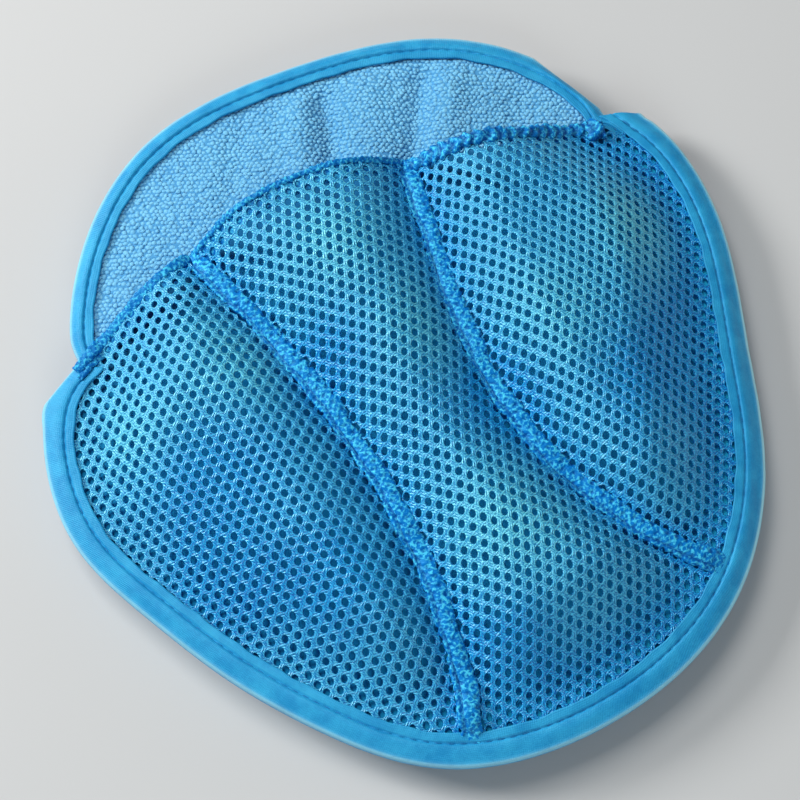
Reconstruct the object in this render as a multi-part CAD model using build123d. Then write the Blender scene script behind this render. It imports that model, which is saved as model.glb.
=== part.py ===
from build123d import *
import math
import os

# Round polishing pad with three mesh finger pockets. Millimetres and degrees.
# +Z points out of the back of the pad, and the polishing face lies on z = 0.
# +Y points out of the mouths of the pockets, towards the wrist, and +X runs along the mouths.

# The finished edge, as (angle from +X, distance from the middle of the pad).
# The upper tape binds the bare back beyond the mouths, the lower tape binds the pockets.
UPPER_EDGE = ((32, 70.8), (44, 74.1), (58, 74.7), (84, 71.8), (112, 73.6), (134, 69.9), (148, 66.2))
LOWER_EDGE = (
    (152, 67.0), (157, 69.8), (167, 71.0), (180, 69.8), (196, 65.5), (211, 64.4), (228, 66.0),
    (247, 70.6), (272, 72.0), (301, 71.6), (322, 67.8), (342, 65.1), (364, 69.7), (375, 72.7), (386, 74.0),
)
LOWER_TAPE_INNER_END = 391  # the end of the lower tape is cut on the slant, out to this angle

REFERENCE_RADIUS = 70.0  # where the rim heights below are given
MIDDLE_FACE_TOP = 4.2
MIDDLE_FOAM_TOP = 10.0
MIDDLE_BACK_TOP = 12.0
RIM_FACE_BOTTOM = 4.6
RIM_FACE_TOP = 6.1
RIM_BACK_BOTTOM = 6.4
RIM_BACK_TOP = 7.8
RESTING_RADIUS = 48.0  # the face is flat inside this circle and curls up outside it
RIM_WAVE = 0.8  # the rim dips by this much at the two sides and rises by it at mouth and tip
FOAM_INSET = 7.5  # from the finished edge to the edge of the foam

TAPE_THICKNESS = 0.6
UPPER_TAPE_WIDTH = 5.0
LOWER_TAPE_WIDTH = 6.2
BODY_INSET = 2.2  # from the finished edge to the cut edge of the cloth inside the tape
PLY_GAP = 0.1  # free air between two plies that lie on each other
TAPE_GAP = 0.35  # the same between the tape and the springy mesh under it

# Each divider is sewn along a bent line, as (x, y) from the mouth to the rim.
LEFT_DIVIDER = ((-27.2, 41.0), (-17.6, 9.0), (-13.2, -24.0), (-20.0, -66.0))
RIGHT_DIVIDER = ((18.4, 42.0), (13.4, 6.0), (16.2, -23.0), (37.0, -56.0))
WELT_WIDTH = 3.8
WELT_HEIGHT = 3.2

# The mouths of the three pockets lie on one bowed line, as (x, y) from notch to notch.
MOUTH_LINE = (
    (-62.0, 27.5), (-48.0, 35.2), (-27.0, 42.4), (-3.0, 45.4), (18.0, 41.9), (42.0, 36.6), (64.0, 34.6),
)
MESH_THICKNESS = 1.0
HEM_WIDTH = 3.2
HEM_PLY = {"left": 0.8, "middle": 0.8, "right": 1.6}  # the right hem is bunched into a rope
POCKET_HEIGHT = {"left": 8.0, "middle": 8.8, "right": 8.8}  # free height under the mesh
POCKET_SIDE_RUN = 16.0  # distance from a divider at which a pocket has its full height
POCKET_TIP_RUN = 20.0  # the same, from the edge tape

STITCH_PITCH = 2.4
STITCH_LENGTH = 1.7
STITCH_RADIUS = 0.2
STITCH_LIFT = 0.35  # from the cloth up to the middle of the thread
DIVIDER_STITCHES = (36, -52)  # y where each divider's stitching starts and ends
EDGE_STITCH_INSET = {"upper": 3.2, "lower": 4.3}  # from the finished edge

DISH_STEP = 40.0  # a dished surface passes through points at most this far apart
ARCH_STEP = 7.0  # the same, for the arch of a mesh panel
GRID_MARGIN = 4.0  # every surface reaches this far past the area that it is cut to
DEPTH = 40.0  # every cutting solid is this deep
FAR = 90.0  # and its straight sides lie this far from the middle, clear of the pad
SIDE_STEP = 10  # a divider's line passes through points this far apart


def polar(angle, radius):
    """A point in the plane of the pad."""
    return (radius * math.cos(math.radians(angle)), radius * math.sin(math.radians(angle)))


def edge_radius(angle):
    """Distance from the middle to the finished edge, smoothly through the edge points."""
    points = UPPER_EDGE + LOWER_EDGE
    count = len(points)
    angle = (angle - points[0][0]) % 360 + points[0][0]
    index = max(i for i in range(count) if points[i][0] <= angle)
    before, start, end, after = (points[(index + k) % count] for k in (-1, 0, 1, 2))
    span = (end[0] - start[0]) % 360
    t = (angle - start[0]) / span
    start_slope = (end[1] - before[1]) / ((end[0] - before[0]) % 360) * span
    end_slope = (after[1] - start[1]) / ((after[0] - start[0]) % 360) * span
    return (
        start[1] * (1 + 2 * t) * (1 - t) ** 2
        + start_slope * t * (1 - t) ** 2
        + end[1] * t**2 * (3 - 2 * t)
        - end_slope * t**2 * (1 - t)
    )


def across(line, y):
    """x on a divider's line at a given y: the one cubic through its four points."""
    total = 0.0
    for i, (x_i, y_i) in enumerate(line):
        weight = 1.0
        for j, (_, y_j) in enumerate(line):
            if j != i:
                weight *= (y - y_j) / (y_i - y_j)
        total += x_i * weight
    return total


def dish(middle, rim):
    """Height of a shallow dished surface, with the wave that the whole rim shares."""

    def height(x, y):
        share = (x * x + y * y) / REFERENCE_RADIUS**2
        wave = RIM_WAVE * (y * y - x * x) / REFERENCE_RADIUS**2
        return middle + (rim - middle) * share + wave

    return height


flat_share = (RESTING_RADIUS / REFERENCE_RADIUS) ** 2
face_bottom = dish(-RIM_FACE_BOTTOM * flat_share / (1 - flat_share), RIM_FACE_BOTTOM)
face_top = dish(MIDDLE_FACE_TOP, RIM_FACE_TOP)
foam_top = dish(MIDDLE_FOAM_TOP, RIM_BACK_BOTTOM)
back_top = dish(MIDDLE_BACK_TOP, RIM_BACK_TOP)


def raised(height, amount):
    """A surface a constant amount above another."""
    return lambda x, y: height(x, y) + amount


def rise_from_divider(distance):
    """Share of the pocket's height reached at a distance from the divider."""
    return math.sin(math.pi / 2 * min(distance / POCKET_SIDE_RUN, 1.0))


def rise_from_rim(distance):
    """Share of the pocket's height reached at a distance from the edge tape."""
    t = min(max(distance / POCKET_TIP_RUN, 0.0), 1.0)
    return t * t * (3 - 2 * t)


def pocket_floor_to_mesh(side):
    """Height of the underside of one mesh panel."""

    def height(x, y):
        rim = edge_radius(math.degrees(math.atan2(y, x))) - LOWER_TAPE_WIDTH - HEM_WIDTH / 2
        share = rise_from_rim(rim - math.hypot(x, y))
        if side != "left":
            divider = LEFT_DIVIDER if side == "middle" else RIGHT_DIVIDER
            share *= rise_from_divider(x - across(divider, y))
        if side != "right":
            divider = RIGHT_DIVIDER if side == "middle" else LEFT_DIVIDER
            share *= rise_from_divider(across(divider, y) - x)
        return back_top(x, y) + PLY_GAP + POCKET_HEIGHT[side] * share

    return height


def closed_area(inset):
    """The whole pad seen from above, inside the finished edge by an inset."""
    points = [polar(angle, radius - inset) for angle, radius in UPPER_EDGE + LOWER_EDGE]
    return make_face([Spline(points, periodic=True)])


def edge_area(edge, outer_inset, inner_inset, inner_end):
    """A band along part of the finished edge."""
    outer = Spline([polar(angle, radius - outer_inset) for angle, radius in edge])
    turned = edge[:-1] + ((inner_end, edge_radius(inner_end)),)
    inner = Spline([polar(angle, radius - inner_inset) for angle, radius in turned])
    return make_face([outer, Line(outer @ 1, inner @ 1), inner, Line(inner @ 0, outer @ 0)])


def side_area(line, shift, direction):
    """Everything on one side of a divider's line, moved across by a shift."""
    top, bottom = 60, -80
    edge = Spline([(across(line, y) + shift, y) for y in range(top, bottom - 1, -SIDE_STEP)])
    far = direction * FAR
    return make_face([edge, Polyline(edge @ 1, (far, bottom), (far, top), edge @ 0)])


def strip_area(line, half_width):
    """A strip that follows a divider's line."""
    return side_area(line, -half_width, 1) & side_area(line, half_width, -1)


def below_mouth(shift):
    """Everything on the pocket side of the mouth line, moved towards the tip by a shift."""
    edge = Spline([(x, y - shift) for x, y in MOUTH_LINE])
    corners = ((FAR, 20), (FAR, -FAR), (-FAR, -FAR), (-FAR, 20))
    return make_face([edge, Polyline(edge @ 1, *corners, edge @ 0)])


def stations(low, high, step):
    """Evenly spaced places that run a little past both ends of a range."""
    low -= GRID_MARGIN
    high += GRID_MARGIN
    count = max(3, math.ceil((high - low) / step))
    return [low + (high - low) * i / count for i in range(count + 1)]


def space_under(area, height, step):
    """A deep solid over an area, whose top is the given surface."""
    box = area.bounding_box()
    columns = stations(box.min.X, box.max.X, step)
    rows = stations(box.min.Y, box.max.Y, step)
    grid = [[(x, y, height(x, y)) for y in rows] for x in columns]
    surface = Face.make_surface_from_array_of_points(grid, min_deg=3)
    return Solid.extrude(surface, Vector(0, 0, -DEPTH))


def column(area):
    """An area as a solid that stands on z = 0 and is taller than the pad."""
    return extrude(area, amount=DEPTH, dir=(0, 0, 1))


def ply(area, bottom, top, step=DISH_STEP):
    """A layer of cloth or foam over an area, between two surfaces."""
    return column(area) & space_under(area, top, step) - space_under(area, bottom, step)


def polishing_face():
    """Plush working face, flat where it rests and curled up towards the rim."""
    return ply(closed_area(BODY_INSET), face_bottom, face_top)


def foam_core():
    """Soft core, which stops short of the sewn rim."""
    return ply(closed_area(FOAM_INSET), raised(face_top, PLY_GAP), raised(foam_top, -PLY_GAP))


def terry_back():
    """Terry cloth back, bare beyond the mouths and the floor of the pockets."""
    return ply(closed_area(BODY_INSET), foam_top, back_top)


def panel_area(side):
    """One mesh panel seen from above, from its mouth to the rim."""
    area = closed_area(BODY_INSET) & below_mouth(0)
    clearance = WELT_WIDTH / 2 + PLY_GAP
    if side != "left":
        divider = LEFT_DIVIDER if side == "middle" else RIGHT_DIVIDER
        area = area & side_area(divider, clearance, 1)
    if side != "right":
        divider = RIGHT_DIVIDER if side == "middle" else LEFT_DIVIDER
        area = area & side_area(divider, -clearance, -1)
    return area


def mesh_panel(side):
    """One mesh panel, arched over its pocket, with its mouth edge turned over as a hem."""
    underside = pocket_floor_to_mesh(side)
    top = raised(underside, MESH_THICKNESS)
    area = panel_area(side)
    sheet = ply(area, underside, top, ARCH_STEP)
    hem_area = (area - below_mouth(HEM_WIDTH)) & closed_area(UPPER_TAPE_WIDTH + 1)
    hem = ply(hem_area, raised(underside, MESH_THICKNESS / 2), raised(top, HEM_PLY[side]), ARCH_STEP)
    return sheet + hem


def divider_welt(line):
    """Folded strip of mesh sewn down between two pockets."""
    area = strip_area(line, WELT_WIDTH / 2) & below_mouth(0) & closed_area(LOWER_TAPE_WIDTH + PLY_GAP)
    return ply(area, raised(back_top, PLY_GAP), raised(back_top, WELT_HEIGHT))


def edge_binding(edge, width, inner_end, above):
    """Folded tape with a U section that wraps the rim, over everything up to a surface."""
    below = raised(face_bottom, -PLY_GAP)
    shell = ply(
        edge_area(edge, 0, width, inner_end),
        raised(below, -TAPE_THICKNESS),
        raised(above, TAPE_THICKNESS),
    )
    rim_space = ply(edge_area(edge, TAPE_THICKNESS, width + 1, inner_end), below, above)
    return shell - rim_space


def stitches(path, surface):
    """Separate stitches, end to end along a flat path, lying on a surface."""
    count = int(path.length / STITCH_PITCH)
    run = []
    for i in range(count):
        ends = []
        for half in (-0.5, 0.5):
            along = (i + 0.5) * STITCH_PITCH + half * STITCH_LENGTH
            point = path.position_at(along, position_mode=PositionMode.LENGTH)
            ends.append(Vector(point.X, point.Y, surface(point.X, point.Y) + STITCH_LIFT))
        middle = Plane(origin=(ends[0] + ends[1]) / 2, z_dir=ends[1] - ends[0])
        run.append(middle * Cylinder(STITCH_RADIUS, (ends[1] - ends[0]).length))
    return Compound(children=run)


def edge_stitching(edge, inset, tape_top):
    """The line of stitches that closes one length of tape."""
    return stitches(Spline([polar(angle, radius - inset) for angle, radius in edge]), tape_top)


def divider_stitching(line):
    """The line of stitches along the left side of a welt."""
    shift = STITCH_LIFT - WELT_WIDTH / 2
    start, end = DIVIDER_STITCHES
    path = Spline([(across(line, y) + shift, y) for y in range(start, end - 1, -8)])
    return stitches(path, raised(back_top, WELT_HEIGHT))


upper_tape_inside = raised(back_top, PLY_GAP)
lower_tape_inside = raised(back_top, PLY_GAP + MESH_THICKNESS + TAPE_GAP)
upper_tape_top = raised(upper_tape_inside, TAPE_THICKNESS)
lower_tape_top = raised(lower_tape_inside, TAPE_THICKNESS)

nodes = {
    "polishing_face": polishing_face(),
    "foam_core": foam_core(),
    "terry_back": terry_back(),
    "mesh_panel_left": mesh_panel("left"),
    "mesh_panel_middle": mesh_panel("middle"),
    "mesh_panel_right": mesh_panel("right"),
    "divider_welt_left": divider_welt(LEFT_DIVIDER),
    "divider_welt_right": divider_welt(RIGHT_DIVIDER),
    "edge_binding_upper": edge_binding(
        UPPER_EDGE, UPPER_TAPE_WIDTH, UPPER_EDGE[-1][0], upper_tape_inside
    ),
    "edge_binding_lower": edge_binding(
        LOWER_EDGE, LOWER_TAPE_WIDTH, LOWER_TAPE_INNER_END, lower_tape_inside
    ),
    "edge_stitching_upper": edge_stitching(UPPER_EDGE, EDGE_STITCH_INSET["upper"], upper_tape_top),
    "edge_stitching_lower": edge_stitching(LOWER_EDGE, EDGE_STITCH_INSET["lower"], lower_tape_top),
    "divider_stitching_left": divider_stitching(LEFT_DIVIDER),
    "divider_stitching_right": divider_stitching(RIGHT_DIVIDER),
}

os.makedirs("parts", exist_ok=True)
for name, solid in nodes.items():
    export_step(solid, f"parts/{name}.step")
    print(name, round(solid.volume), "mm3")
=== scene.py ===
import math

import bpy
import numpy as np
from mathutils import Matrix, Vector
from mathutils.bvhtree import BVHTree


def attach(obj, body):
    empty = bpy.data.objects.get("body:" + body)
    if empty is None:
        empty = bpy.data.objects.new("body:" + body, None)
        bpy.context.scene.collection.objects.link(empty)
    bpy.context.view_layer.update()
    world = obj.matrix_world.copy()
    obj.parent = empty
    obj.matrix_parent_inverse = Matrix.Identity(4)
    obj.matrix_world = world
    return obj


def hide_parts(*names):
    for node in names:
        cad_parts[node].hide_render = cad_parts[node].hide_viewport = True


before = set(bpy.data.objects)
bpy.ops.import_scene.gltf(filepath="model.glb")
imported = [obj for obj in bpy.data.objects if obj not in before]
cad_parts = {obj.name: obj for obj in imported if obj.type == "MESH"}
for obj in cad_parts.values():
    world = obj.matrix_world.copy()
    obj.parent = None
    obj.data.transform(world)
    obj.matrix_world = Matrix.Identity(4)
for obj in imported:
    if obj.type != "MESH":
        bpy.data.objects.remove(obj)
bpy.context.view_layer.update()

# A round polishing pad with three mesh finger pockets on its back.
# Lengths in this file are millimetres unless a name says otherwise; build() turns them into metres.
MM = 0.001
RNG = np.random.default_rng(7)

# How the cloth looks. Places and outer sizes are read from the frame further down.
SIDES = ("left", "middle", "right")
NET_HALF = 0.30  # half the thickness of the netting
NET_LIFT = 0.65  # middle of the netting above the back, where it lies flat
HOLE = {"left": (0.52, 0.70, 76), "middle": (0.49, 0.67, 80), "right": (0.47, 0.68, 84)}  # half sizes, lean
YARN_WAIST = 0.34  # the netting is thickest this share of the way from a hole to the middle of its yarn
LATTICE = {
    "left": ((2.42, -13), (2.15, 45)),  # the two shortest steps from hole to hole: length, direction
    "middle": ((2.38, 14), (2.27, 66)),
    "right": ((2.35, 9), (2.28, 59)),
}
LOOP_PITCH = 0.94
LOOP_ROW = 0.84
LOOP_SIZE = (0.60, 0.49, 0.25)  # half sizes: along the row, across it, up
LOOP_SEED = 3
CLOTH_TURN = math.radians(25.8)  # the rows of loops lie across this direction, from +Y towards +X
TERRY_INSET = 2.4  # from the finished edge to the cut edge of the terry
PLUSH_INSET = 1.6
TERRY_STEP, PLUSH_STEP = 0.7, 0.62
FIELD = 76  # half the side of the square that holds the pad
STITCH_PITCH = 2.3
STITCH_FILL = 0.78  # share of the pitch that the thread shows
STITCH_RINGS = 7
STITCH_CORNERS = 6
THREAD_RADIUS = 0.13
WELT_HALF = 2.1
WELT_SEAM = 1.25  # from the middle of a welt to the seam on its left
HEM_WIDTH = 3.8
FOLD_INSET = 0.35  # from the mouth line to the middle of the rolled fold
ROPE_INSET = 1.7
MESH_HOLE_PITCH = 1.9  # between the dimples of folded netting
BAND_STEP = 0.27
TAPE_THICKNESS = 0.45
TAPE_STEP = 0.42
TAPE_WIDTH = {"upper": 5.0, "lower": 6.2}
STITCH_INSET = {"upper": 3.2, "lower": 4.3}
TAPE_SEAT = {"upper": 0.80, "lower": 1.45}  # top of the tape above the terry
TAPE_BELOW = 0.2  # underside of the tape below the working face
FOLD_RADIUS = 0.8
TAPE_CORNER = 386.0  # degrees: the lower tape's slanted end starts here at the rim
TAPE_SLANT = 5.0  # and runs this much further at the inner lip
CORNER_OUT = 0.9  # its corner beside the left notch stands out by this much
MEAN_RADIUS = 70  # of the rim, which turns angles into lengths
STRAIGHT_EDGE = {"upper": (32.0, 45.0), "lower": (151.5, 156.4)}  # degrees: here the rim runs straight
STRAIGHT_LIMIT = 1.5  # and lies at most this far inside the curved outline


def joined(*parts):
    """Arrays side by side along a new last axis."""
    return np.stack(parts, axis=-1)


def polar(radius, degrees):
    """x and y of points given by radius and angle."""
    return radius * np.cos(np.radians(degrees)), radius * np.sin(np.radians(degrees))


def ease(t):
    """0 to 1 with a soft start and a soft end."""
    t = np.clip(t, 0, 1)
    return t * t * (3 - 2 * t)


def bell(value, reach):
    """1 at 0, fading out on both sides."""
    return np.exp(-((value / reach) ** 2))


def run_length(points):
    """Length from the first point of a line to each of its points."""
    return np.concatenate(([0], np.cumsum(np.linalg.norm(np.diff(points, axis=0), axis=1))))


# ---- reading the frame

def node_tree(node):
    """A search tree of a CAD node, in millimetres."""
    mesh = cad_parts[node].data
    points = [v.co / MM for v in mesh.vertices]
    return BVHTree.FromPolygons(points, [p.vertices[:] for p in mesh.polygons])


def node_points(node):
    """The vertices of a CAD node, in millimetres."""
    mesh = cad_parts[node].data
    flat = np.empty(len(mesh.vertices) * 3)
    mesh.vertices.foreach_get("co", flat)
    return flat.reshape(-1, 3) / MM


def height_fit(node, from_above, low_radius, high_radius):
    """A smooth bowl a + b x2 + c y2 + d xy through one side of a CAD node."""
    tree = node_tree(node)
    start, way = (60, -1) if from_above else (-20, 1)
    rows, heights = [], []
    for radius in np.linspace(low_radius, high_radius, 8):
        for angle in np.radians(np.arange(0, 360, 10)):
            x, y = radius * math.cos(angle), radius * math.sin(angle)
            hit = tree.ray_cast(Vector((x, y, start)), Vector((0, 0, way)))[0]
            if hit is not None:
                rows.append((1, x * x, y * y, x * y))
                heights.append(hit.z)
    a, b, c, d = np.linalg.lstsq(np.array(rows), np.array(heights), rcond=None)[0]
    return lambda x, y: a + b * x * x + c * y * y + d * x * y


def edge_samples(node, height):
    """(angles in degrees, radii) of the outer wall of one length of tape."""
    tree = node_tree(node)
    points = node_points(node)
    angles = np.degrees(np.arctan2(points[:, 1], points[:, 0]))
    if node.endswith("lower"):
        angles = np.where(angles < 90, angles + 360, angles)
    found = []
    for angle in np.arange(math.ceil(angles.min()), math.floor(angles.max()) + 0.1, 1.0):
        out = Vector((math.cos(math.radians(angle)), math.sin(math.radians(angle)), 0))
        hit = tree.ray_cast(out * 150 + Vector((0, 0, height)), -out)[0]
        if hit is not None and hit.xy.length > 60:
            found.append((angle, hit.xy.length))
    return np.array(found).T


def smoothed(values, passes=3):
    """A line of values with its facets rubbed out."""
    for _ in range(passes):
        padded = np.concatenate((values[:1], values, values[-1:]))
        values = (padded[:-2] + 2 * values + padded[2:]) / 4
    return values


back_top = height_fit("terry_back", True, 5, 62)
face_bottom = height_fit("polishing_face", False, 54, 64)
upper_angles, upper_radii = edge_samples("edge_binding_upper", 6.0)
lower_angles, lower_radii = edge_samples("edge_binding_lower", 6.5)
upper_radii = smoothed(upper_radii)
lower_radii = smoothed(lower_radii)
all_angles = np.concatenate((upper_angles, lower_angles))
all_radii = np.concatenate((upper_radii, lower_radii))
order = np.argsort(all_angles % 360)
ring_angles, ring_radii = (all_angles % 360)[order], all_radii[order]
soft_radii = ring_radii.copy()
for _ in range(60):  # enough to even out a notch
    soft_radii = (np.roll(soft_radii, 1) + 2 * soft_radii + np.roll(soft_radii, -1)) / 4


def rim_distance(x, y, radii=ring_radii):
    """How far a point lies inside the finished edge."""
    angle = np.degrees(np.arctan2(y, x))
    return np.interp(angle % 360, ring_angles, radii, period=360) - np.hypot(x, y)


def soft_rim_distance(x, y):
    """As rim_distance, but blind to the two notches, so that no crease runs in from them."""
    return rim_distance(x, y, soft_radii)


def welt_line(side):
    """x on the centre line of a welt as a cubic in y, and the y of its tip and its mouth."""
    x, y, _ = node_points(f"divider_welt_{side}").T
    return np.polynomial.Polynomial.fit(y, x, 3), y.min(), y.max()


WELTS = {side: welt_line(side) for side in ("left", "right")}
# the divider on the left and on the right of each pocket
LEFT_OF = {"left": None, "middle": WELTS["left"][0], "right": WELTS["right"][0]}
RIGHT_OF = {"left": WELTS["left"][0], "middle": WELTS["right"][0], "right": None}


def mouth_samples():
    """The line of the mouths, y as a smooth function of x, from the front walls of the hems."""
    trees = [node_tree(f"mesh_panel_{side}") for side in SIDES]
    found = []
    for x in np.arange(-58, 61, 1.5):
        best = -100.0
        for z in np.arange(7.8, 23, 0.5):
            for tree in trees:
                hit = tree.ray_cast(Vector((x, 90, z)), Vector((0, -1, 0)))[0]
                if hit is not None:
                    best = max(best, hit.y)
        if best > 20 and rim_distance(x, best) > 3.2:
            found.append((x, best))
    x, y = np.array(found).T
    for _ in range(3):
        line = np.polynomial.Polynomial.fit(x, y, 6)
        keep = y > line(x) - 0.6  # the gaps at the welts drop out
        x, y = x[keep], y[keep]
    first, last = x.min() + 1, x.max() - 1
    run = 5
    slope_first = (line(first + run) - line(first)) / run
    slope_last = (line(last) - line(last - run)) / run

    def mouth(at):
        middle = line(np.clip(at, first, last))
        return middle + slope_first * np.minimum(at - first, 0) + slope_last * np.maximum(at - last, 0)

    return mouth


mouth_line = mouth_samples()


def panel_height(side):
    """Free height of one pocket, from the top of its CAD panel."""
    tree = node_tree(f"mesh_panel_{side}")
    best = 0.0
    for x in np.arange(-60, 61, 4):
        for y in np.arange(-60, 41, 4):
            hit = tree.ray_cast(Vector((x, y, 60)), Vector((0, 0, -1)))[0]
            if hit is not None:
                best = max(best, hit.z - float(back_top(x, y)))
    return best - 2.0


POCKET_HEIGHT = {side: panel_height(side) for side in SIDES}
SIDE_RUN = 16.0  # distance from a divider at which a pocket has its full height
TIP_RUN = 20.0  # the same, from the tape

# Soft swells and dents of the netting: x, y, radius, height.
RELIEF = (
    (-27, 18, 11, 1.3), (5, 9, 10, 1.2), (-2, 30, 9, 1.0), (30, -1, 12, 1.3), (3, -33, 12, 1.2),
    (50, 10, 9, 0.6), (-41, -2, 12, -0.9), (-12, 12, 8, -0.9), (40, -17, 12, -0.9), (-30, -27, 11, -0.6),
    (13, -10, 9, -0.7), (-51, 14, 8, 0.7), (-50, -20, 11, -0.6), (-6, -52, 9, -0.3), (54, -14, 9, -0.3),
)


def near_low_rim(x, y):
    """1 where the netting comes down on the back along the lower right rim, 0 in the pockets."""
    right = ease(0.35 + (0.87 * x - 0.50 * y) / 60)
    return right * ease(1 - (soft_rim_distance(x, y) - TAPE_WIDTH["lower"]) / 13)


def swells(x, y, weigh):
    """The sum of the round swells and dents, each weighed by a function of its height."""
    return sum(weigh(h) * np.exp(-((x - cx) ** 2 + (y - cy) ** 2) / r**2) for cx, cy, r, h in RELIEF)


def net_light_and_shade(x, y):
    """Painted light and shade of the netting: 0 for painted shade in a dent, at a seam and along the lower
    right rim, 1 for painted light on a swell.
    """
    lit_share = 0.42 + swells(x, y, lambda h: 0.5 * np.sign(h))
    near_seam = sum(bell(x - divider(y), 4.0) for divider, _, _ in WELTS.values())
    return np.clip(lit_share - 0.45 * near_seam - 0.5 * near_low_rim(x, y), 0, 1)


def seam_distances(side, x, y):
    """How far a point lies inside a pocket from each divider beside it."""
    if LEFT_OF[side] is not None:
        yield x - LEFT_OF[side](y)
    if RIGHT_OF[side] is not None:
        yield RIGHT_OF[side](y) - x


def pocket_surface(side):
    """Height of the middle of the netting over one pocket."""

    def height(x, y):
        share = ease((soft_rim_distance(x, y) - TAPE_WIDTH["lower"] - 0.8) / TIP_RUN)
        for inward in seam_distances(side, x, y):
            share = share * np.sin(np.pi / 2 * np.clip(inward / SIDE_RUN, -1, 1))
        free = POCKET_HEIGHT[side] + swells(x, y, lambda h: h)
        return back_top(x, y) + NET_LIFT + free * np.maximum(share, 0.0)

    return height


# ---- building meshes

def add_object(name, data):
    """An object in the scene from its data."""
    made = bpy.data.objects.new(name, data)
    bpy.context.scene.collection.objects.link(made)
    return made


def build(name, points, faces, material, uvs=None, values=None):
    """A smooth-shaded mesh object from points in millimetres. faces may be a list of arrays."""
    mesh = bpy.data.meshes.new(name)
    groups = faces if isinstance(faces, list) else [faces]
    groups = [np.asarray(g) for g in groups if len(g)]
    loops = np.concatenate([g.ravel() for g in groups])
    sizes = np.concatenate([np.full(len(g), g.shape[1]) for g in groups])
    mesh.vertices.add(len(points))
    mesh.vertices.foreach_set("co", (np.asarray(points) * MM).ravel())
    mesh.loops.add(len(loops))
    mesh.loops.foreach_set("vertex_index", loops)
    mesh.polygons.add(len(sizes))
    mesh.polygons.foreach_set("loop_start", np.concatenate(([0], np.cumsum(sizes)[:-1])))
    mesh.polygons.foreach_set("loop_total", sizes)
    mesh.update(calc_edges=True)
    mesh.validate()
    mesh.polygons.foreach_set("use_smooth", np.ones(len(mesh.polygons), dtype=bool))
    if uvs is not None:
        layer = mesh.uv_layers.new(name="UVMap")
        layer.data.foreach_set("uv", np.asarray(uvs, dtype=np.float32).ravel())
    for key, data in (values or {}).items():
        attribute = mesh.attributes.new(key, "FLOAT", "POINT")
        attribute.data.foreach_set("value", np.asarray(data, dtype=np.float32))
    mesh.materials.append(material)
    piece = add_object(name, mesh)
    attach(piece, "root")
    return piece


def slopes(height, x, y, step):
    """Slopes of a height field along x and along y."""
    slope_x = (height(x + step, y) - height(x - step, y)) / (2 * step)
    slope_y = (height(x, y + step) - height(x, y - step)) / (2 * step)
    return slope_x, slope_y


def tilted(height, x, y, offset):
    """Points a signed distance along the normal from a height field."""
    slope_x, slope_y = slopes(height, x, y, 0.2)
    length = np.sqrt(1 + slope_x**2 + slope_y**2)
    share = offset / length
    return joined(x - share * slope_x, y - share * slope_y, height(x, y) + share)


def grid_quads(rows, columns, close_rows=False, close_columns=False):
    """Quads of a grid of points stored row by row."""
    i = np.arange(rows if close_rows else rows - 1)
    j = np.arange(columns if close_columns else columns - 1)
    i, j = np.meshgrid(i, j, indexing="ij")
    i, j = i.ravel(), j.ravel()
    i2, j2 = (i + 1) % rows, (j + 1) % columns
    return joined(i * columns + j, i2 * columns + j, i2 * columns + j2, i * columns + j2)


# ---- materials

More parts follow.
